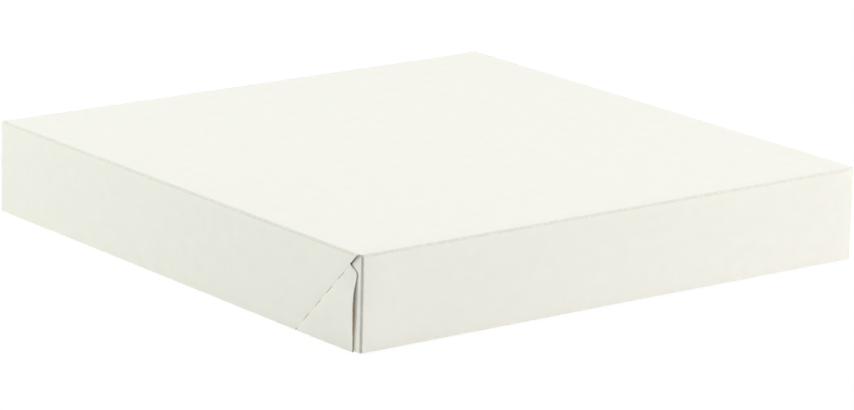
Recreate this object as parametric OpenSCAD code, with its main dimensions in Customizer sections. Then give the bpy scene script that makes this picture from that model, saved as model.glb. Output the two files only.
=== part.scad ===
// Shallow square bakery carton: a tray and a hinged lid folded from one sheet of coated board.
// X runs along the front wall, Y from front to back, Z up. The origin is under the middle of the base.

/* [Closed box] */
// Outer width, from side to side
box_w = 258; // [200:1:360]
// Outer depth, from front to back
box_d = 258; // [200:1:360]
// Outer height
box_h = 40; // [34:0.5:80]

/* [Board] */
// Thickness of the board
board_t = 0.5; // [0.4:0.05:0.7]
// Inside radius of a fold
fold_r = 0.6; // [0.4:0.05:1]

/* [Fit of the lid over the tray] */
// Gap between the lid's glued tabs and the tray's side walls
side_gap = 0.4; // [0.3:0.05:1.5]
// Gap between the lid's front wall and the tray's front wall
front_gap = 0.6; // [0.5:0.05:1.5]
// Gap between the tray's rims and the underside of the lid's panel
rim_gap = 0.3; // [0.2:0.05:1]
// Height of the lid's side walls above the table
side_lift = 0.3; // [0.2:0.1:4]
// Height of the lid's front wall above the table
front_lift = 0.7; // [0.2:0.1:4]
// Distance from the hinge line to the rear edge of the lid's panel
hinge_gap = 0.4; // [0.35:0.05:0.8]

/* [Glued corners] */
// How far a glued corner stands in from the side wall's outer face
corner_inset = 1.1; // [0.9:0.1:2]
// Distance from the corner to where its tab lies against the side wall
glue_start = 14; // [8:0.5:18]
// Distance from the corner to the far edge of its tab
tab_l = 25; // [20:0.5:30]
// Gap between the tab's edge and the panel
tab_gap = 0.1; // [0.1:0.05:0.6]
// Distance from the corner to where the tab's sloping edge would meet the panel
tab_start = 2; // [1.2:0.1:2.2]
// Angle between the tab's sloping edge and the upright corner, in degrees
tab_angle = 43.5; // [40:0.5:44]
// Cut off the tab's far corner
tab_chamfer = 5; // [1:0.5:8]

/* [Diagonal crease in a side wall] */
// Angle between the diagonal and the upright corner, in degrees
diagonal_angle = 45.5; // [44:0.5:48]
// Distance from the corner to where the diagonal starts
diagonal_start = 1.2; // [0.8:0.1:1.5]
// Depth of the notch that frees the wall at the corner
notch_h = 5.1; // [4:0.1:7]
// Width of the notch, beyond the diagonal
notch_w = 0.6; // [0.3:0.05:1]
// Length of one cut along the diagonal
cut_l = 5.3; // [3:0.1:8]
// Length of creased board between two cuts
land_l = 5.3; // [3:0.1:8]
// Width of a cut
cut_w = 0.2; // [0.15:0.05:0.6]
// Width of the pressed channel along the diagonal
channel_w = 0.8; // [0.6:0.1:1.4]
// Depth of the pressed channel
channel_t = 0.05; // [0.05:0.01:0.15]

/* [Free end of a side wall] */
// Distance from the corner to the rounded tip
tip_start = 2.8; // [2:0.1:4]
// Slope of the edge from the notch to the tip, in degrees
tip_slope = 35; // [20:1:45]
// Radius of the tip
tip_r = 2; // [1:0.1:3]
// Distance from the corner to the straight part of the free end
end_start = 4.4; // [4:0.1:8]
// Height of the curve from the tip to the straight part
end_curve = 14; // [6:0.5:20]

/* [Hidden] */
$fn = 64;
// Outer radius of a fold
bend_r = fold_r + board_t;
// The tray that stands inside the lid
tray_w = box_w - 2 * (corner_inset + board_t + side_gap);
tray_d = box_d - board_t - front_gap;
tray_h = box_h - board_t - rim_gap;
// The hinge line, halfway through the board
hinge_y = box_d - board_t / 2;
hinge_z = box_h - board_t / 2;
// How far the diagonal runs back for each millimetre along the corner
diagonal_run = tan(diagonal_angle);
// Steps in the arc of the rounded tip, and in the curve below it
tip_steps = 8;
// How far a cutting shape passes the board
past = 1;

// Stretches a section drawn in Y and Z along X
module along_x(length) rotate([90, 0, 90]) linear_extrude(length) children();

// Stretches a section drawn in X and Z along Y
module along_y(length) translate([0, length, 0]) rotate([90, 0, 0]) linear_extrude(length) children();

// The same shape at the left and at the right of a half that is w wide
module both_sides(w) {
    children();
    translate([w, 0, 0]) mirror([1, 0, 0]) children();
}

// Quarter ring between a panel at the bottom and a wall at the left
module fold_section() translate([bend_r, bend_r]) difference() {
    intersection() {
        circle(bend_r);
        translate([-bend_r, -bend_r]) square(bend_r);
    }
    circle(fold_r);
}

// A wall of height h with the fold that carries it
module wall_section(h) {
    fold_section();
    translate([0, bend_r]) square([board_t, h - bend_r]);
}

// Outline of a side wall's glued end in Y and Z: the notch's edge and end, the rounded tip and the free end
function glued_end(h) =
    let (
        turn = 90 - tip_slope,
        notch_end = [diagonal_start + diagonal_run * notch_h, notch_h],
        tip_z = notch_h + tan(tip_slope) * (notch_end[0] - tip_start) + tip_r * tan(turn / 2)
    )
    concat(
        [[diagonal_start + notch_w / cos(diagonal_angle), 0]],
        [notch_end + notch_w * [cos(diagonal_angle), -sin(diagonal_angle)], notch_end],
        [for (i = [0:tip_steps]) let (a = 180 + turn * (1 - i / tip_steps))
            [tip_start + tip_r, tip_z] + tip_r * [cos(a), sin(a)]],
        [for (i = [1:tip_steps]) let (t = i / tip_steps)
            [end_start - (end_start - tip_start) * pow(1 - t, 2), tip_z + end_curve * t]],
        [[end_start, h]]
    );

// The same outline for the other end of a wall of length d, in the opposite order
function far_end(points, d) = [for (i = [len(points) - 1:-1:0]) [d - points[i][0], points[i][1]]];

// Cuts and pressed channel along the diagonal of a wall of height h
module diagonal_crease(h) {
    crease_end = h / cos(diagonal_angle);
    notch_end = notch_h / cos(diagonal_angle);
    translate([0, diagonal_start, 0]) rotate([-diagonal_angle, 0, 0]) {
        translate([-past, -channel_w / 2, notch_end]) cube([past + channel_t, channel_w, crease_end]);
        for (s = [notch_end + land_l:cut_l + land_l:crease_end])
            translate([-past, -cut_w / 2, s]) cube([board_t + 2 * past, cut_w, cut_l]);
    }
}

// Left side wall of a half that is d deep, glued at the front and, if both_ends is true, at the back too
module side_wall(d, h, both_ends) {
    front = glued_end(h);
    back = both_ends ? far_end(front, d) : [[d, h], [d, 0]];
    difference() {
        intersection() {
            along_y(d) wall_section(h);
            along_x(bend_r) polygon(concat(front, back));
        }
        diagonal_crease(h);
        if (both_ends) translate([0, d, 0]) mirror([0, 1, 0]) diagonal_crease(h);
    }
}

// Tab of height h, folded round the left corner from the end wall and glued inside the side wall
module glue_tab(h) {
    tab_run = tan(tab_angle);
    top = board_t + tab_gap;
    intersection() {
        linear_extrude(h) polygon([
            [corner_inset, bend_r], [board_t, glue_start], [board_t, tab_l],
            [2 * board_t, tab_l], [2 * board_t, glue_start], [corner_inset + board_t, bend_r]
        ]);
        along_x(corner_inset + 2 * board_t) polygon([
            [bend_r, top], [tab_start + tab_run * top, top], [tab_l, (tab_l - tab_start) / tab_run],
            [tab_l, h - tab_chamfer], [tab_l - tab_chamfer, h], [bend_r, h]
        ]);
    }
}

// Left corner of an end wall of height h: its upright fold, rounded tip and tab
module glued_corner(h) {
    translate([corner_inset, 0, bend_r]) linear_extrude(h - bend_r) fold_section();
    translate([corner_inset + bend_r, bend_r, bend_r]) intersection() {
        difference() {
            sphere(bend_r);
            sphere(fold_r);
        }
        translate([-bend_r, -bend_r, -bend_r]) cube(bend_r);
    }
    glue_tab(h);
}

// End wall of a half that is w wide: the wall, and a glued corner at each side
module end_wall(w, h) {
    corner = corner_inset + bend_r;
    translate([corner, 0, 0]) along_x(w - 2 * corner) wall_section(h);
    both_sides(w) glued_corner(h);
}

// Base and four walls. The rear wall stands higher and ends in the round of the hinge.
module tray() color("whitesmoke") translate([-tray_w / 2, box_d / 2 - tray_d, 0]) {
    corner = corner_inset + bend_r;
    translate([bend_r, bend_r, 0]) cube([tray_w - 2 * bend_r, tray_d - 2 * bend_r, board_t]);
    both_sides(tray_w) side_wall(tray_d, tray_h, true);
    end_wall(tray_w, tray_h);
    translate([0, tray_d, 0]) mirror([0, 1, 0]) end_wall(tray_w, tray_h);
    translate([corner, tray_d, tray_h]) mirror([0, 1, 0]) along_x(tray_w - 2 * corner) {
        square([board_t, hinge_z - tray_h]);
        translate([board_t / 2, hinge_z - tray_h]) circle(board_t / 2);
    }
}

// Panel, front wall and two side walls, drawn with the panel down and turned over
module lid() color("white") translate([-box_w / 2, -box_d / 2, box_h]) mirror([0, 0, 1]) {
    translate([bend_r, bend_r, 0]) cube([box_w - 2 * bend_r, hinge_y - hinge_gap - bend_r, board_t]);
    both_sides(box_w) side_wall(box_d, box_h - side_lift, false);
    end_wall(box_w, box_h - front_lift);
}

tray();
lid();
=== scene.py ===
"""Shallow square bakery carton, folded from coated board: a tray, a hinged lid and the fold between them."""
import math

import bmesh
import bpy
from bpy.props import FloatProperty, FloatVectorProperty, IntProperty, PointerProperty
from mathutils import Matrix, Vector


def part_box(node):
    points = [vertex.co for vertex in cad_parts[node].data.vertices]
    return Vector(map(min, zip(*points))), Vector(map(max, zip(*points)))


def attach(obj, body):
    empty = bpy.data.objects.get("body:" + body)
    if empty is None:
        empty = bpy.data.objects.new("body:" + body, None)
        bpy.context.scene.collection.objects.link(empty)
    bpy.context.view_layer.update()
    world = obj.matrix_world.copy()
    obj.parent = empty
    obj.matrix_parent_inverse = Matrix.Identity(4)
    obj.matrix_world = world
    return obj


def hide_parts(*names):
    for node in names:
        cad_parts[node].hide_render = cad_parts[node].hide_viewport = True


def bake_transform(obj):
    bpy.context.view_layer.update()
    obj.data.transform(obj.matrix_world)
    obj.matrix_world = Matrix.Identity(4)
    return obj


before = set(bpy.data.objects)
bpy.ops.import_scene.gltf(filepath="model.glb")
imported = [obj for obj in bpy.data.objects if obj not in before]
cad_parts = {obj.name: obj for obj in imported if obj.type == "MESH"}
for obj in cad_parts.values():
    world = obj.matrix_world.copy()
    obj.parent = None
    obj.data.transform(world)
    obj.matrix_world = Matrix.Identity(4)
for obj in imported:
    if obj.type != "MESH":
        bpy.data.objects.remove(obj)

bl_info = {
    "name": "Tart box",
    "version": (1, 0, 0),
    "blender": (4, 5, 0),
    "location": "View3D > Sidebar > Tart Box",
    "description": "Builds a folded board box with a hinged lid, and the stage that it stands on",
    "category": "Add Mesh",
}

MM = 0.001
# Slack for a point that should lie at a place, for one that was moved since, and between points that are one
TINY = 1e-5
NEAR = 10 * TINY
HAIR = TINY / 10
# Farther than any part of the box
FAR = 1
QUARTER = math.pi / 2
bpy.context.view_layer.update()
LID_LOW, LID_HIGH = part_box("lid")
TRAY_LOW, TRAY_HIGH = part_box("tray")
# Material slots of a board's bare inside and of its cut edge, after the coated outside's
INSIDE, CUT = 1, 2
# Distances over which the board's unevenness grows on a panel and on a wall, and a wall's share of it
PANEL_EASE = 45 * MM
WALL_EASE = 14 * MM
WALL_SHARE = 0.5
# Edges that turn by less than this are shaded smooth
SMOOTH_BELOW = math.radians(35)
# Stretch of the grain's noise that spreads from a material's first colour to its second
GRAIN_RANGE = (0.32, 0.68)
WHITE = (1, 1, 1, 1)
# Brightness of the floor's glow, and its share in what the camera sees. The rest takes the box's shadow.
FLOOR_GLOW = 1.03
GLOW_SHARE = 0.92


def length_property(name, description, default):
    """A length that a user may change, with its default in millimetres"""
    return FloatProperty(
        name=name, description=description, default=default * MM, unit="LENGTH", precision=5)


def angle_property(name, description, default):
    """An angle that a user may change, with its default in degrees"""
    return FloatProperty(
        name=name, description=description, default=math.radians(default), subtype="ANGLE")


def colour_property(name, description, default):
    """A colour that a user may change"""
    return FloatVectorProperty(name=name, description=description, subtype="COLOR", default=default)


class TARTBOX_PG_board(bpy.types.PropertyGroup):
    """Sizes of the board and of its folds, tabs and cuts"""
    board_t: length_property("Board", "Thickness of the board", 0.5)
    fold_r: length_property("Fold radius", "Inside radius of a fold", 0.6)
    corner_inset: length_property(
        "Corner inset", "How far a glued corner stands in from the side wall", 1.1)
    glue_start: length_property(
        "Glue start", "Distance from the corner to where its tab meets the side wall", 14)
    tab_l: length_property("Tab length", "Distance from the corner to the far edge of its tab", 25)
    tab_gap: length_property("Tab gap", "Gap between the tab's edge and the panel", 0.1)
    tab_start: length_property(
        "Tab start", "Distance from the corner to where the tab's sloping edge would meet the panel", 2)
    tab_angle: angle_property(
        "Tab angle", "Angle between the tab's sloping edge and the upright corner", 43.5)
    tab_chamfer: length_property("Tab chamfer", "Cut off the tab's far corner", 5)
    glue_t: length_property("Glue", "Thickness of the glue between a tab and the side wall", 0.02)
    diagonal_angle: angle_property(
        "Diagonal angle", "Angle between the diagonal crease and the upright corner", 45.5)
    diagonal_start: length_property(
        "Diagonal start", "Distance from the corner to where the diagonal starts", 1.2)
    notch_h: length_property("Notch", "Depth of the notch that frees the side wall at the corner", 5.1)
    notch_w: length_property("Notch width", "Width of the notch, beyond the diagonal", 0.6)
    tip_start: length_property("Tip", "Distance from the corner to the side wall's rounded tip", 2.8)
    tip_slope: angle_property("Tip slope", "Slope of the edge from the notch to the tip", 35)
    tip_r: length_property("Tip radius", "Radius of the tip", 2)
    end_start: length_property(
        "Free end", "Distance from the corner to the straight part of the wall's free end", 4.4)
    end_curve: length_property("End curve", "Height of the curve from the tip to the straight part", 14)
    tip_curl: length_property("Tip curl", "How far the free end curls in at its tip", 0.66)
    tip_curl_r: length_property("Tip curl reach", "Reach of the curl at the tip", 9)
    tip_press: FloatProperty(
        name="Pressed tip", description="Share of the board's thickness that is left at the pressed tip",
        default=0.35, min=0.05, max=1)
    tip_press_r: length_property(
        "Pressed tip reach", "Distance from the tip to where the board is at full thickness", 7)
    end_curl: length_property("End curl", "How far the free end curls in at its other corner", 0.42)
    end_curl_r: length_property("End curl reach", "Reach of the curl at the free end's other corner", 16)
    tab_bow: length_property(
        "Tab bow", "How far a tab bows in, halfway up, beside the side wall's free end", 0.3)
    cut_l: length_property("Cut length", "Length of one cut along the diagonal", 5.3)
    land_l: length_property("Land length", "Length of creased board between two cuts", 5.3)
    cut_w: length_property("Cut width", "Width of a cut", 0.2)
    channel_w: length_property("Channel width", "Width of the pressed channel along the diagonal", 0.8)
    channel_t: length_property("Channel depth", "Depth of the pressed channel", 0.05)
    side_lift: length_property("Side lift", "Height of the lid's side walls above the table", 0.3)
    front_lift: length_property("Front lift", "Height of the lid's front wall above the table", 0.7)
    rim_gap: length_property(
        "Rim gap", "Gap between the tray's rims and the underside of the lid's panel", 0.3)
    hinge_lead: length_property(
        "Hinge lead", "Flat board at each side of the fold between the tray and the lid", 1.5)
    sag: length_property("Sag", "How far a panel wanders in from the flat", 0.4)
    sag_l: length_property("Sag length", "Length of the board's soft waves", 90)
    fold_steps: IntProperty(name="Fold steps", description="Facets round a fold", default=8, min=3)
    panel_cells: IntProperty(name="Panel cells", description="Cells along a panel's side", default=26, min=4)
    wall_rows: IntProperty(name="Wall rows", description="Rows of faces up a wall", default=8, min=1)
    tip_cells: IntProperty(
        name="Tip cells", description="Cells along the curled tip's reach", default=6, min=1)


class TARTBOX_PG_finish(bpy.types.PropertyGroup):
    """Colours of the board"""
    coating: colour_property("Coating", "White coating of the outside", (0.90, 0.905, 0.878))
    coating_shade: colour_property(
        "Coating, thin", "Coating where the board shows through it", (0.885, 0.89, 0.86))
    kraft: colour_property("Kraft", "Bare kraft of the inside", (0.46, 0.33, 0.21))
    kraft_fibre: colour_property("Kraft fibre", "Paler fibres in the kraft", (0.60, 0.46, 0.31))
    cut_edge: colour_property("Cut edge", "Board where it is cut through", (0.86, 0.81, 0.68))
    # Grey crease wear on the folds' rounds, which is also painted shade that damps the lamps' highlight there
    coating_wear_and_shade: colour_property(
        "Coating, worn and shaded", "Coating where a fold has cracked it, with painted shade", (0.73, 0.72, 0.66))
    # Darker kraft along the inside of the folds
    kraft_along_folds: colour_property(
        "Kraft, along folds", "Kraft along the inside of a fold, darker than the rest", (0.36, 0.25, 0.15))


class TARTBOX_PG_view(bpy.types.PropertyGroup):
    """Camera and light"""
    azimuth: angle_property("Azimuth", "Turn of the camera round the box", -37.71)
    elevation: angle_property("Elevation", "Camera's height above the horizon", 14.72)
    roll: angle_property("Roll", "Turn of the camera about its own line of sight", 1.36)
    distance: FloatProperty(
        name="Distance", description="From the camera to the point it looks at", default=1.81, unit="LENGTH")
    aim: FloatVectorProperty(
        name="Aim", description="Point that the camera looks at", default=(-0.0292, -0.0410, 0.0265),
        subtype="TRANSLATION")
    lens: FloatProperty(
        name="Lens", description="Focal length in millimetres on a 36 mm sensor", default=184.85)
    ambient: FloatProperty(
        name="Ambient", description="Strength of the light from all round", default=0.2)


class Half:
    """Places on one half of the box while it lies panel down: the tray, or the lid before it turns over"""

    def __init__(self, board, ends, half_w, front, back, side_h, end_h):
        self.board = board
        self.ends = ends
        self.half_w = half_w
        self.front = front
        self.back = back
        self.side_h = side_h
        self.end_h = end_h
        self.bend_r = board.fold_r + board.board_t
        self.corner = board.corner_inset + self.bend_r
        self.run = math.tan(board.diagonal_angle)
        self.cos_a, self.sin_a = math.cos(board.diagonal_angle), math.sin(board.diagonal_angle)
        # Where the diagonal leaves the notch, the tip's corner before it is rounded, and where its round ends
        self.notch_u = board.diagonal_start + self.run * board.notch_h
        self.tip_corner_z = board.notch_h + math.tan(board.tip_slope) * (self.notch_u - board.tip_start)
        self.tip_cut = board.tip_r * math.tan((QUARTER - board.tip_slope) / 2)
        self.tip_z = self.tip_corner_z + self.tip_cut

    def row(self, height):
        """Height of one row of faces on a wall that reaches up to a height"""
        return (height - self.bend_r) / self.board.wall_rows

    def inward(self, end, y):
        """Distance from the front (end -1) or rear (end 1) face to y"""
        return y - self.front if end < 0 else self.back - y

    def at(self, end, u):
        """The y of a point at the distance u in from the front or rear face"""
        return self.front + u if end < 0 else self.back - u

    def off_diagonal(self, end, point):
        """Distance of a point from the diagonal, positive away from the corner"""
        u = self.inward(end, point.y) - self.board.diagonal_start
        return u * self.cos_a - point.z * self.sin_a

    def down_diagonal(self, end, point):
        """Distance of a point along the diagonal from where it starts"""
        u = self.inward(end, point.y) - self.board.diagonal_start
        return u * self.sin_a + point.z * self.cos_a

    def free_end(self, z):
        """Distance from the corner to a side wall's free end, at the height z above the panel"""
        rest = 1 - min((z - self.tip_z) / self.board.end_curve, 1)
        return self.board.end_start - (self.board.end_start - self.board.tip_start) * rest ** 2

    def in_fold(self, point):
        """Whether a point lies on the round of a fold, and not on a flat"""
        def round_part(distance):
            return TINY < distance < self.bend_r - TINY

        from_side = self.half_w - abs(point.x)
        from_end = min(self.inward(-1, point.y), self.inward(1, point.y))
        along_panel = round_part(point.z) and (round_part(from_side) or round_part(from_end))
        upright = round_part(from_side - self.board.corner_inset) and round_part(from_end)
        return along_panel or upright

    def slack(self, point):
        """How freely the board bends at a place: 0 near a fold or glued corner, 1 in the middle of a panel"""
        board = self.board
        from_side = self.half_w - abs(point.x)
        from_end = min(self.inward(-1, point.y), self.inward(1, point.y))
        if abs(point.z) < TINY:
            return ease(min(from_side, from_end) / PANEL_EASE)
        up_wall = ease((point.z - self.bend_r) / WALL_EASE) * WALL_SHARE
        if from_side < TINY:
            return up_wall * ease((from_end - board.tab_l) / PANEL_EASE)
        if self.inward(-1, point.y) < TINY:
            return up_wall * ease((from_side - self.corner) / PANEL_EASE)
        if self.inward(1, point.y) < TINY:
            near_hinge = ease((self.side_h - point.z) / WALL_EASE)
            return up_wall * near_hinge * ease((from_side - self.corner) / PANEL_EASE)
        return 0.0

    def body(self, point):
        """How full the board is at a place: 0 where it is pressed at a free end's tip, 1 away from it"""
        board = self.board
        full = 1.0
        if point.z > self.bend_r and self.half_w - abs(point.x) < 2 * board.board_t - TINY:
            for end in self.ends:
                away = math.hypot(self.inward(end, point.y) - board.tip_start, point.z - self.tip_z)
                full = min(full, ease(away / board.tip_press_r))
        return full


def ease(share):
    """A smooth step from 0 to 1"""
    share = min(max(share, 0), 1)
    return share * share * (3 - 2 * share)


# Modelling by hand: each of these is one or two steps in edit mode

def new_piece(name, materials):
    """A flat square to start from, in edit mode, with nothing else selected"""
    bpy.ops.object.select_all(action="DESELECT")
    bpy.ops.mesh.primitive_plane_add(size=1)
    piece = bpy.context.object
    piece.name = name
    piece.data.name = name
    for material in materials:
        piece.data.materials.append(material)
    bpy.ops.object.mode_set(mode="EDIT")
    return piece


def pick(kind, wanted):
    """Selects the wanted vertices, edges or faces, and nothing else"""
    bpy.ops.mesh.select_mode(type=kind)
    bpy.ops.mesh.select_all(action="DESELECT")
    mesh = bmesh.from_edit_mesh(bpy.context.edit_object.data)
    for item in {"VERT": mesh.verts, "EDGE": mesh.edges, "FACE": mesh.faces}[kind]:
        if wanted(item):
            item.select_set(True)
    mesh.select_flush_mode()
    bmesh.update_edit_mesh(bpy.context.edit_object.data)


def pick_points(test):
    """Selects the vertices that pass the test"""
    pick("VERT", lambda vertex: test(vertex.co))


def pick_edges(test):
    """Selects the edges of which both ends pass the test"""
    pick("EDGE", lambda edge: all(test(vertex.co) for vertex in edge.verts))


def pick_faces(test):
    """Selects the faces whose centre passes the test"""
    pick("FACE", lambda face: test(face.calc_center_median()))


def bisect(wanted, point, normal):
    """Cuts the wanted faces by a plane"""
    pick_faces(wanted)
    bpy.ops.mesh.bisect(plane_co=point, plane_no=normal, threshold=HAIR / 10)


def delete_faces(wanted):
    """Deletes the wanted faces, and keeps the edges that they share with others"""
    pick_faces(wanted)
    bpy.ops.mesh.delete(type="FACE")


def trim(wanted, point, normal):
    """Cuts the wanted faces by a plane and deletes what lies behind it"""
    bisect(wanted, point, normal)
    delete_faces(lambda p: wanted(p) and (p - Vector(point)).dot(Vector(normal)) < 0)


def slide(test, move, reach=None):
    """Moves the chosen vertices, and what lies within reach of them by a share that fades"""
    pick_points(test)
    if reach is None:
        bpy.ops.transform.translate(value=move)
    else:
        bpy.ops.transform.translate(
            value=move, use_proportional_edit=True,
            proportional_edit_falloff="SMOOTH", proportional_size=reach)


def spin(centre, axis, angle, steps):
    """Sweeps the selected edges round a fold, by the right-hand rule"""
    bpy.ops.mesh.spin(steps=steps, angle=-angle, center=centre, axis=axis)


def extrude_edges(*moves):
    """Extrudes the selected edges once for each move"""
    for move in moves:
        bpy.ops.mesh.extrude_edges_move(TRANSFORM_OT_translate={"value": move})


def lay_panel(half):
    """The flat panel between the folds, with lines where the end walls begin"""
    width = 2 * (half.half_w - half.bend_r)
    depth = half.back - half.front - 2 * half.bend_r
    bpy.ops.transform.resize(value=(width, depth, 1))
    bpy.ops.transform.translate(value=(0, (half.front + half.back) / 2, 0))
    bpy.ops.mesh.subdivide(number_cuts=half.board.panel_cells - 1)
    for side in (-1, 1):
        bisect(lambda p: True, (side * (half.half_w - half.corner), 0, 0), (1, 0, 0))


def fold_side(half, side):
    """The fold and the wall at the left (side -1) or right (side 1) of the panel"""
    x = side * (half.half_w - half.bend_r)
    pick_edges(lambda p: abs(p.x - x) < TINY)
    spin((x, 0, half.bend_r), (0, 1, 0), -side * QUARTER, half.board.fold_steps)
    extrude_edges(*[(0, 0, half.row(half.side_h))] * half.board.wall_rows)


def cut_diagonal(half, side, end):
    """The diagonal crease of a side wall with its notch, its pressed channel and its cuts"""
    board = half.board
    notch_end = board.notch_h / half.cos_a
    crease_end = half.side_h / half.cos_a
    middle = (half.back - half.front) / 2

    def wall(off=(-FAR, FAR), down=(-FAR, FAR)):
        """Faces of this end of the wall that lie between two lines along the diagonal and two across it"""
        return lambda p: (
            side * p.x > half.half_w - half.bend_r - TINY and half.inward(end, p.y) < middle
            and off[0] < half.off_diagonal(end, p) < off[1]
            and down[0] < half.down_diagonal(end, p) < down[1])

    def along(offset, wanted):
        start = (0, half.at(end, board.diagonal_start + offset / half.cos_a), 0)
        bisect(wanted, start, (0, -end * half.cos_a, -half.sin_a))

    def across(down, wanted):
        start = (0, half.at(end, board.diagonal_start + down * half.sin_a), down * half.cos_a)
        bisect(wanted, start, (0, -end * half.sin_a, half.cos_a))

    along(0, wall())
    along(board.notch_w, wall(off=(0, FAR), down=(-FAR, notch_end + board.land_l)))
    across(notch_end, wall(off=(0, board.notch_w)))
    delete_faces(wall(off=(0, board.notch_w), down=(-FAR, notch_end)))
    slope = (0, -end * math.sin(board.tip_slope), math.cos(board.tip_slope))
    trim(wall(off=(-FAR, 0)), (0, half.at(end, half.notch_u), board.notch_h), slope)
    trim(wall(off=(-FAR, 0)), (0, half.at(end, board.tip_start), 0), (0, -end, 0))
    shape_free_end(half, side, end)
    for offset in (-board.channel_w / 2, -board.cut_w / 2, board.cut_w / 2, board.channel_w / 2):
        along(offset, wall(down=(notch_end, FAR)))
    channel = board.cut_w / 2 + TINY
    slide(
        lambda p: wall(off=(-channel, channel), down=(notch_end + TINY, FAR))(p),
        (-side * board.channel_t, 0, 0))
    cut = board.cut_w / 2 - HAIR
    start = notch_end + board.land_l
    while start < crease_end:
        across(start, wall(off=(-cut, cut)))
        across(start + board.cut_l, wall(off=(-cut, cut)))
        delete_faces(wall(off=(-cut, cut), down=(start, start + board.cut_l)))
        start += board.cut_l + board.land_l


def shape_free_end(half, side, end):
    """The rounded tip and the curved free end of a side wall, with its two corners curled in"""
    board = half.board

    def on_end(z):
        """Points on the straight free end at a height"""
        return lambda p: (
            side * p.x > half.half_w - board.board_t and abs(p.z - z) < NEAR
            and abs(half.inward(end, p.y) - board.tip_start) < NEAR)

    pick_points(on_end(half.tip_corner_z))
    bpy.ops.mesh.bevel(offset=half.tip_cut, segments=board.fold_steps, affect="VERTICES")
    row = half.row(half.side_h)
    heights = [half.bend_r + step * row for step in range(1, board.wall_rows + 1)]
    cell = board.tip_curl_r / board.tip_cells
    patch = 2 * board.tip_curl_r

    def near_tip(p):
        """Whether a face's centre is near the tip, where finer faces let the board curl smoothly"""
        return (
            side * p.x > half.half_w - board.board_t and p.z > half.bend_r
            and half.inward(end, p.y) < board.tip_start + patch and abs(p.z - half.tip_z) < patch)

    for step in range(1, board.tip_cells + 1):
        heights.append(half.tip_z + step * cell)
        bisect(near_tip, (0, 0, heights[-1]), (0, 0, 1))
        bisect(near_tip, (0, half.at(end, board.end_start + step * cell), 0), (0, 1, 0))
    for z in heights:
        if z > half.tip_z:
            slide(on_end(z), (0, -end * (half.free_end(z) - board.tip_start), 0))
    slide(on_end(half.tip_z), (-side * board.tip_curl, 0, 0), board.tip_curl_r)
    slide(
        lambda p: side * p.x > 0 and abs(p.z - half.side_h) < TINY
        and abs(half.inward(end, p.y) - board.end_start) < NEAR,
        (-side * board.end_curl, 0, 0), board.end_curl_r)


def fold_end(half, end):
    """The fold and the wall at the front (end -1) or rear (end 1), with the upright folds at its corners"""
    y = half.at(end, half.bend_r)
    limit = half.half_w - half.corner + TINY
    pick_edges(lambda p: abs(p.y - y) < TINY and abs(p.z) < TINY and abs(p.x) < limit)
    spin((0, y, half.bend_r), (1, 0, 0), end * QUARTER, half.board.fold_steps)
    extrude_edges(*[(0, 0, half.row(half.end_h))] * half.board.wall_rows)
    for side in (-1, 1):
        x = side * (half.half_w - half.corner)
        pick_edges(lambda p: abs(p.x - x) < TINY and half.inward(end, p.y) < half.bend_r + TINY)
        spin((x, y, 0), (0, 0, 1), -side * end * QUARTER, half.board.fold_steps)
        pick_points(lambda p: abs(p.x - x) < TINY and abs(p.y - y) < TINY and abs(p.z) < TINY)
        bpy.ops.mesh.remove_doubles(threshold=HAIR)
        fold_tab(half, side, end)


def fold_tab(half, side, end):
    """The tab that lies behind the side wall, glued to it at its far end"""
    board = half.board
    x = side * (half.half_w - board.corner_inset)
    flare = board.corner_inset - board.board_t - board.glue_t
    top = board.board_t + board.tab_gap

    def on_tab(p):
        depth = half.half_w - side * p.x
        return (
            half.bend_r - TINY < half.inward(end, p.y) < board.tab_l + TINY and p.z > board.board_t
            and board.board_t < depth < board.corner_inset + board.tab_bow + TINY)

    pick_edges(lambda p: (
        abs(p.x - x) < TINY and abs(half.inward(end, p.y) - half.bend_r) < TINY and p.z > half.bend_r - TINY))
    beside = (board.end_start - half.bend_r) / (board.glue_start - half.bend_r)
    flared = Vector((side * flare, -end * (board.glue_start - half.bend_r), 0))
    extrude_edges(flared * beside, flared * (1 - beside), (0, -end * (board.tab_l - board.glue_start), 0))
    for row in range(1, board.wall_rows):
        share = row / board.wall_rows
        z = half.bend_r + (half.end_h - half.bend_r) * share
        slide(
            lambda p: on_tab(p) and abs(p.z - z) < TINY
            and abs(half.inward(end, p.y) - board.end_start) < TINY,
            (-side * board.tab_bow * math.sin(math.pi * share) ** 2, 0, 0))
    pick_edges(lambda p: on_tab(p) and abs(p.z - half.bend_r) < TINY)
    extrude_edges((0, 0, top - half.bend_r))
    slope = (0, end * math.cos(board.tab_angle), math.sin(board.tab_angle))
    trim(on_tab, (0, half.at(end, board.tab_start), 0), slope)
    trim(on_tab, (0, half.at(end, board.tab_l - board.tab_chamfer), half.end_h), (0, end, -1))


def finish_board(piece, half, turned_over):
    """Turns the sheet's faces outwards, softens it, turns it over if it is the lid, and makes it a board"""
    face_out(-1)
    bpy.ops.object.mode_set(mode="OBJECT")
    mark_folds(piece, half.in_fold)
    loosen(piece, half)
    body = weigh(piece, "body", half.body)
    if turned_over:
        bpy.ops.object.mode_set(mode="EDIT")
        bpy.ops.mesh.select_all(action="SELECT")
        bpy.ops.transform.rotate(value=math.pi, orient_axis="Y", center_override=(0, 0, LID_HIGH.z / 2))
        bpy.ops.object.mode_set(mode="OBJECT")
    thicken(piece, half.board, body)


def face_out(up):
    """Makes the normals agree, so that the highest face looks up (up 1) or the lowest one down (up -1)"""
    bpy.ops.mesh.select_mode(type="FACE")
    bpy.ops.mesh.select_all(action="SELECT")
    bpy.ops.mesh.normals_make_consistent(inside=False)
    mesh = bmesh.from_edit_mesh(bpy.context.edit_object.data)
    outermost = max(mesh.faces, key=lambda f: up * f.calc_center_median().z)
    if up * outermost.normal.z < 0:
        bpy.ops.mesh.flip_normals()


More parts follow.
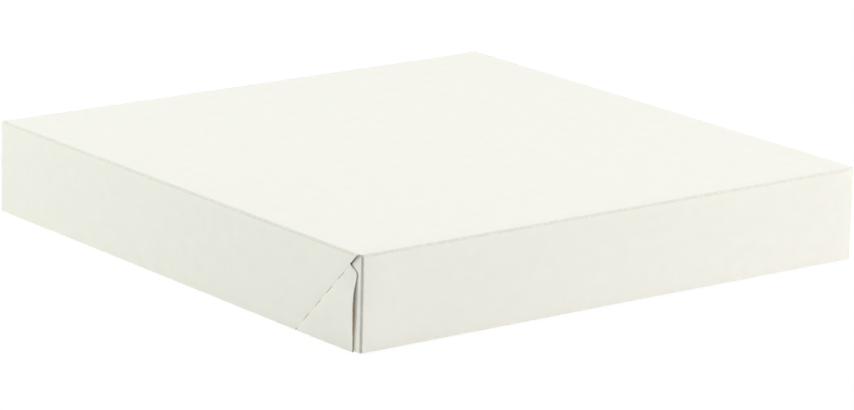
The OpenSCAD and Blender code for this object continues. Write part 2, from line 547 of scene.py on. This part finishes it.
def mark_folds(piece, in_fold):
    """Marks the rounds of the folds, where the coating wears and where painted shade damps their highlight"""
    marks = piece.data.attributes.new("fold", "FLOAT", "POINT")
    for vertex, mark in zip(piece.data.vertices, marks.data):
        mark.value = float(in_fold(vertex.co))


def weigh(piece, name, weight):
    """Makes a vertex group from a weight for each place"""
    group = piece.vertex_groups.new(name=name)
    for vertex in piece.data.vertices:
        group.add([vertex.index], weight(vertex.co), "REPLACE")
    return group.name


def loosen(piece, half):
    """Lets the flats wander in a little from true"""
    flats = weigh(piece, "flats", half.slack)
    waves = bpy.data.textures.new("board_waves", "CLOUDS")
    waves.noise_scale = half.board.sag_l
    waves.noise_depth = 0
    sag = piece.modifiers.new("Sag", "DISPLACE")
    sag.texture = waves
    sag.texture_coords = "LOCAL"
    sag.vertex_group = flats
    sag.mid_level = 1
    sag.strength = half.board.sag
    bpy.ops.object.modifier_apply(modifier=sag.name)
    piece.vertex_groups.clear()


def thicken(piece, board, body=""):
    """Makes a sheet a board with an outside, an inside and cut edges, thinner where its body is less full"""
    solid = piece.modifiers.new("Board", "SOLIDIFY")
    solid.thickness = board.board_t
    solid.offset = -1
    solid.use_even_offset = True
    solid.vertex_group = body
    solid.thickness_vertex_group = board.tip_press
    solid.material_offset = INSIDE
    solid.material_offset_rim = CUT
    bpy.ops.object.modifier_apply(modifier=solid.name)
    bpy.ops.object.shade_smooth_by_angle(angle=SMOOTH_BELOW)


# Finishes

def grain_group():
    """Mottle and fibres of a paper board, used by its outside, its inside and its cut edge"""
    group = bpy.data.node_groups.new("Board grain", "ShaderNodeTree")
    for name in ("Fibre Scale", "Mottle Scale"):
        group.interface.new_socket(name, in_out="INPUT", socket_type="NodeSocketFloat")
    for name in ("Fibres", "Mottle"):
        group.interface.new_socket(name, in_out="OUTPUT", socket_type="NodeSocketFloat")
    nodes, links = group.nodes, group.links
    inlet = nodes.new("NodeGroupInput")
    outlet = nodes.new("NodeGroupOutput")
    place = nodes.new("ShaderNodeTexCoord")
    stretch = nodes.new("ShaderNodeMapping")
    stretch.inputs["Scale"].default_value = (1.0, 0.35, 1.0)
    fibres = nodes.new("ShaderNodeTexNoise")
    fibres.inputs["Detail"].default_value = 4
    fibres.inputs["Distortion"].default_value = 1.2
    mottle = nodes.new("ShaderNodeTexNoise")
    mottle.inputs["Detail"].default_value = 3
    links.new(place.outputs["Object"], stretch.inputs["Vector"])
    links.new(stretch.outputs["Vector"], fibres.inputs["Vector"])
    links.new(place.outputs["Object"], mottle.inputs["Vector"])
    links.new(inlet.outputs["Fibre Scale"], fibres.inputs["Scale"])
    links.new(inlet.outputs["Mottle Scale"], mottle.inputs["Scale"])
    links.new(fibres.outputs["Fac"], outlet.inputs["Fibres"])
    links.new(mottle.outputs["Fac"], outlet.inputs["Mottle"])
    return group


def wear_and_shade_group():
    """Broken marks along the folds: crease wear with painted shade on the outside, darker kraft on the inside
    """
    group = bpy.data.node_groups.new("Fold wear and shade", "ShaderNodeTree")
    inputs = (("Color", "Color"), ("Worn And Shaded Color", "Color"), ("Crack Scale", "Float"), ("Amount", "Float"))
    for name, kind in inputs:
        group.interface.new_socket(name, in_out="INPUT", socket_type="NodeSocket" + kind)
    group.interface.new_socket("Color", in_out="OUTPUT", socket_type="NodeSocketColor")
    nodes, links = group.nodes, group.links
    inlet = nodes.new("NodeGroupInput")
    outlet = nodes.new("NodeGroupOutput")
    place = nodes.new("ShaderNodeTexCoord")
    cracks = nodes.new("ShaderNodeTexNoise")
    cracks.inputs["Detail"].default_value = 5
    breaks = nodes.new("ShaderNodeMapRange")
    breaks.inputs["From Min"].default_value = 0.15
    breaks.inputs["From Max"].default_value = 0.6
    fold = nodes.new("ShaderNodeAttribute")
    fold.attribute_name = "fold"
    on_fold = nodes.new("ShaderNodeMath")
    on_fold.operation = "MULTIPLY"
    amount = nodes.new("ShaderNodeMath")
    amount.operation = "MULTIPLY"
    mix = nodes.new("ShaderNodeMix")
    mix.data_type = "RGBA"
    colour_a, colour_b = (s for s in mix.inputs if s.type == "RGBA")
    links.new(place.outputs["Object"], cracks.inputs["Vector"])
    links.new(inlet.outputs["Crack Scale"], cracks.inputs["Scale"])
    links.new(cracks.outputs["Fac"], breaks.inputs["Value"])
    links.new(breaks.outputs["Result"], on_fold.inputs[0])
    links.new(fold.outputs["Fac"], on_fold.inputs[1])
    links.new(on_fold.outputs[0], amount.inputs[0])
    links.new(inlet.outputs["Amount"], amount.inputs[1])
    links.new(amount.outputs[0], mix.inputs["Factor"])
    links.new(inlet.outputs["Color"], colour_a)
    links.new(inlet.outputs["Worn And Shaded Color"], colour_b)
    links.new(next(s for s in mix.outputs if s.type == "RGBA"), outlet.inputs["Color"])
    return group


def board_material(name, grain, colours, roughness, bump, fibre_scale, mottle_scale, by="Mottle"):
    """One face of the board: two close colours mixed by the grain, with a bump from its fibres"""
    material = bpy.data.materials.new(name)
    material.use_nodes = True
    nodes, links = material.node_tree.nodes, material.node_tree.links
    shader = nodes["Principled BSDF"]
    effect = nodes.new("ShaderNodeGroup")
    effect.node_tree = grain
    effect.inputs["Fibre Scale"].default_value = fibre_scale
    effect.inputs["Mottle Scale"].default_value = mottle_scale
    shader.inputs["Specular IOR Level"].default_value = 0.03
    ramp = nodes.new("ShaderNodeValToRGB")
    ramp.name = "colour"
    for element, position, colour in zip(ramp.color_ramp.elements, GRAIN_RANGE, colours):
        element.position = position
        element.color = (*colour, 1)
    gloss = nodes.new("ShaderNodeMapRange")
    gloss.inputs["To Min"].default_value, gloss.inputs["To Max"].default_value = roughness
    relief = nodes.new("ShaderNodeBump")
    relief.inputs["Strength"].default_value = 1
    relief.inputs["Distance"].default_value = bump
    links.new(effect.outputs[by], ramp.inputs["Fac"])
    links.new(ramp.outputs["Color"], shader.inputs["Base Color"])
    links.new(effect.outputs["Fibres"], gloss.inputs["Value"])
    links.new(gloss.outputs["Result"], shader.inputs["Roughness"])
    links.new(effect.outputs["Fibres"], relief.inputs["Height"])
    links.new(relief.outputs["Normal"], shader.inputs["Normal"])
    return material


def add_wear_and_shade(material, fold_wear_and_shade, worn_and_shaded, crack_scale, amount):
    """Puts the broken marks along the folds over a material's colour: on the outside, crease wear with
    painted shade
    """
    nodes, links = material.node_tree.nodes, material.node_tree.links
    effect = nodes.new("ShaderNodeGroup")
    effect.node_tree = fold_wear_and_shade
    effect.inputs["Worn And Shaded Color"].default_value = (*worn_and_shaded, 1)
    effect.inputs["Crack Scale"].default_value = crack_scale
    effect.inputs["Amount"].default_value = amount
    links.new(nodes["colour"].outputs["Color"], effect.inputs["Color"])
    links.new(effect.outputs["Color"], nodes["Principled BSDF"].inputs["Base Color"])


def board_materials():
    """The board's outside, inside and cut edge, made once"""
    names = ("coated_white", "bare_kraft", "cut_board")
    if names[0] not in bpy.data.materials:
        finish = bpy.context.scene.tart_box_finish
        grain, fold_wear_and_shade = grain_group(), wear_and_shade_group()
        white = board_material(
            names[0], grain, (finish.coating_shade, finish.coating), roughness=(0.66, 0.80),
            bump=0.004 * MM, fibre_scale=1400, mottle_scale=180)
        # Painted shade along the folds, mixed with crease wear, damps the lamps' highlight on their rounds
        add_wear_and_shade(white, fold_wear_and_shade, finish.coating_wear_and_shade, crack_scale=700, amount=0.75)
        kraft = board_material(
            names[1], grain, (finish.kraft, finish.kraft_fibre), roughness=(0.78, 0.92),
            bump=0.03 * MM, fibre_scale=900, mottle_scale=70, by="Fibres")
        # The inside turns darker along the folds
        add_wear_and_shade(kraft, fold_wear_and_shade, finish.kraft_along_folds, crack_scale=500, amount=0.6)
        board_material(
            names[2], grain, (finish.cut_edge, finish.kraft_fibre), roughness=(0.85, 0.95),
            bump=0.03 * MM, fibre_scale=2500, mottle_scale=300)
    return [bpy.data.materials[name] for name in names]


# Operators

class TARTBOX_OT_tray(bpy.types.Operator):
    """Folds the tray"""
    bl_idname = "tart_box.tray"
    bl_label = "Tray"

    def execute(self, context):
        board = context.scene.tart_box_board
        rim = LID_HIGH.z - board.board_t - board.rim_gap
        half = Half(board, (-1, 1), TRAY_HIGH.x, TRAY_LOW.y, TRAY_HIGH.y, rim, rim)
        piece = new_piece("tray_board", board_materials())
        lay_panel(half)
        for side in (-1, 1):
            fold_side(half, side)
            for end in (-1, 1):
                cut_diagonal(half, side, end)
        for end in (-1, 1):
            fold_end(half, end)
        lead_z = LID_HIGH.z - half.bend_r - board.hinge_lead
        limit = half.half_w - half.corner
        rear = half.back - TINY
        trim(lambda p: p.y > rear and abs(p.x) < limit, (0, 0, lead_z), (0, 0, -1))
        finish_board(piece, half, turned_over=False)
        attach(piece, "tray")
        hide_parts("tray")
        return {"FINISHED"}


class TARTBOX_OT_lid(bpy.types.Operator):
    """Folds the lid"""
    bl_idname = "tart_box.lid"
    bl_label = "Lid"

    def execute(self, context):
        board = context.scene.tart_box_board
        half = Half(
            board, (-1,), LID_HIGH.x, LID_LOW.y, LID_HIGH.y, LID_HIGH.z - board.side_lift,
            LID_HIGH.z - board.front_lift)
        piece = new_piece("lid_board", board_materials())
        lay_panel(half)
        # The panel's rear strip runs out to the rear face, between the side walls
        y = half.at(1, half.bend_r)
        pick_edges(lambda p: abs(p.y - y) < TINY)
        extrude_edges((0, half.bend_r, 0))
        for side in (-1, 1):
            fold_side(half, side)
            cut_diagonal(half, side, -1)
        fold_end(half, -1)
        lead_y = half.at(1, half.bend_r + board.hinge_lead)
        limit = TRAY_HIGH.x - half.corner
        for side in (-1, 1):
            bisect(lambda p: abs(p.z) < TINY, (side * limit, 0, 0), (1, 0, 0))
        trim(lambda p: abs(p.z) < TINY and abs(p.x) < limit, (0, lead_y, 0), (0, -1, 0))
        finish_board(piece, half, turned_over=True)
        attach(piece, "lid")
        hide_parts("lid")
        return {"FINISHED"}


class TARTBOX_OT_hinge_fold(bpy.types.Operator):
    """Folds the strip of board between the tray's rear wall and the lid's panel"""
    bl_idname = "tart_box.hinge_fold"
    bl_label = "Hinge fold"

    def execute(self, context):
        board = context.scene.tart_box_board
        bend_r = board.fold_r + board.board_t
        half_l = TRAY_HIGH.x - board.corner_inset - bend_r
        top, rear = LID_HIGH.z, LID_HIGH.y
        piece = new_piece("hinge_fold", board_materials())
        bpy.ops.transform.resize(value=(2 * half_l, board.hinge_lead, 1))
        bpy.ops.transform.translate(value=(0, rear - bend_r - board.hinge_lead / 2, top))
        bpy.ops.mesh.subdivide(number_cuts=1)
        y = rear - bend_r
        pick_edges(lambda p: abs(p.y - y) < TINY)
        spin((0, y, top - bend_r), (1, 0, 0), -QUARTER, board.fold_steps)
        extrude_edges((0, 0, -board.hinge_lead))
        face_out(1)
        bpy.ops.object.mode_set(mode="OBJECT")
        # The hinge's round carries the same crease wear and painted shade
        mark_folds(piece, lambda p: p.y > y + TINY and p.z > top - bend_r + TINY)
        thicken(piece, board)
        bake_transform(piece)
        return {"FINISHED"}


class TARTBOX_OT_stage(bpy.types.Operator):
    """Sets the floor, the lights and the camera"""
    bl_idname = "tart_box.stage"
    bl_label = "Stage"

    def execute(self, context):
        view = context.scene.tart_box_view
        context.scene.view_settings.view_transform = "Standard"
        white_world(view.ambient)
        floor = white_floor()
        softbox("top_light", place=(0, -0.1, 1.5), size=1.6, power=9.6, colour=(0.99, 1, 1))
        softbox(
            "left_light", place=(-1.25, 1.6, 0.75), size=1.4, power=38.5, colour=(0.985, 0.985, 0.885))
        softbox("right_light", place=(1.6, -1.25, 0.75), size=1.4, power=40.5, colour=(1, 0.965, 0.885))
        add_camera(view)
        return {"FINISHED"}


def seen_directly(nodes, links):
    """1 for a ray that shows the background: from the camera, a reflection or a view through glass"""
    path = nodes.new("ShaderNodeLightPath")
    total = None
    for name in ("Is Camera Ray", "Is Glossy Ray", "Is Transmission Ray"):
        if total is None:
            total = path.outputs[name]
            continue
        add = nodes.new("ShaderNodeMath")
        add.operation = "MAXIMUM"
        links.new(total, add.inputs[0])
        links.new(path.outputs[name], add.inputs[1])
        total = add.outputs[0]
    return total


def white_world(ambient):
    """White where it is seen, and an even soft light elsewhere"""
    world = bpy.data.worlds.new("Studio")
    bpy.context.scene.world = world
    world.use_nodes = True
    nodes, links = world.node_tree.nodes, world.node_tree.links
    nodes.clear()
    light = nodes.new("ShaderNodeBackground")
    light.inputs["Color"].default_value = WHITE
    light.inputs["Strength"].default_value = ambient
    seen = nodes.new("ShaderNodeBackground")
    seen.inputs["Color"].default_value = WHITE
    mix = nodes.new("ShaderNodeMixShader")
    out = nodes.new("ShaderNodeOutputWorld")
    links.new(seen_directly(nodes, links), mix.inputs[0])
    links.new(light.outputs[0], mix.inputs[1])
    links.new(seen.outputs[0], mix.inputs[2])
    links.new(mix.outputs[0], out.inputs["Surface"])


def white_floor():
    """A pale floor that keeps a soft shadow and meets the white background"""
    bpy.ops.object.select_all(action="DESELECT")
    bpy.ops.mesh.primitive_circle_add(vertices=64, radius=6, fill_type="NGON")
    floor = bpy.context.object
    floor.name = "floor"
    material = bpy.data.materials.new("floor_white")
    material.use_nodes = True
    nodes, links = material.node_tree.nodes, material.node_tree.links
    paint = nodes["Principled BSDF"]
    paint.inputs["Base Color"].default_value = (0.75, 0.75, 0.75, 1)
    paint.inputs["Roughness"].default_value = 0.9
    paint.inputs["Specular IOR Level"].default_value = 0.1
    glow = nodes.new("ShaderNodeEmission")
    glow.inputs["Color"].default_value = WHITE
    glow.inputs["Strength"].default_value = FLOOR_GLOW
    share = nodes.new("ShaderNodeMath")
    share.operation = "MULTIPLY"
    share.inputs[1].default_value = GLOW_SHARE
    mix = nodes.new("ShaderNodeMixShader")
    links.new(seen_directly(nodes, links), share.inputs[0])
    links.new(share.outputs[0], mix.inputs[0])
    links.new(paint.outputs[0], mix.inputs[1])
    links.new(glow.outputs[0], mix.inputs[2])
    links.new(mix.outputs[0], nodes["Material Output"].inputs["Surface"])
    floor.data.materials.append(material)
    return floor


def softbox(name, place, size, power, colour):
    """A square soft light that faces the box"""
    bpy.ops.object.light_add(type="AREA", location=place)
    lamp = bpy.context.object
    lamp.name = name
    lamp.data.size = size
    lamp.data.energy = power
    lamp.data.color = colour
    lamp.rotation_euler = (-Vector(place)).to_track_quat("-Z", "Y").to_euler()


def add_camera(view):
    """The camera at the photograph's angle"""
    bpy.ops.object.camera_add()
    camera = bpy.context.object
    camera.name = "camera"
    camera.data.sensor_width = 36
    camera.data.lens = view.lens
    camera.data.clip_start = 0.05
    camera.data.clip_end = 50
    back = Vector((
        math.sin(view.azimuth) * math.cos(view.elevation),
        -math.cos(view.azimuth) * math.cos(view.elevation),
        math.sin(view.elevation)))
    turn = (-back).to_track_quat("-Z", "Y").to_matrix() @ Matrix.Rotation(view.roll, 3, "Z")
    camera.matrix_world = Matrix.Translation(Vector(view.aim) + back * view.distance) @ turn.to_4x4()
    bpy.context.scene.camera = camera


class TARTBOX_PT_panel(bpy.types.Panel):
    """The box's sizes and colours, and the operators that build it"""
    bl_idname = "TARTBOX_PT_panel"
    bl_label = "Tart Box"
    bl_space_type = "VIEW_3D"
    bl_region_type = "UI"
    bl_category = "Tart Box"

    def draw(self, context):
        layout = self.layout
        for group in GROUPS:
            owner = getattr(context.scene, group)
            column = layout.column()
            for name in owner.__annotations__:
                column.prop(owner, name)
        for operator in OPERATORS:
            layout.operator(operator.bl_idname)


GROUPS = {
    "tart_box_board": TARTBOX_PG_board,
    "tart_box_finish": TARTBOX_PG_finish,
    "tart_box_view": TARTBOX_PG_view,
}
OPERATORS = (TARTBOX_OT_stage, TARTBOX_OT_tray, TARTBOX_OT_lid, TARTBOX_OT_hinge_fold)
CLASSES = (*GROUPS.values(), *OPERATORS, TARTBOX_PT_panel)


def register():
    for cls in CLASSES:
        bpy.utils.register_class(cls)
    for name, group in GROUPS.items():
        setattr(bpy.types.Scene, name, PointerProperty(type=group))


def unregister():
    for name in GROUPS:
        delattr(bpy.types.Scene, name)
    for cls in reversed(CLASSES):
        bpy.utils.unregister_class(cls)


def main():
    """Builds the box and its stage"""
    register()
    bpy.ops.tart_box.stage()
    bpy.ops.tart_box.tray()
    bpy.ops.tart_box.lid()
    bpy.ops.tart_box.hinge_fold()


if __name__ == "__main__":
    main()
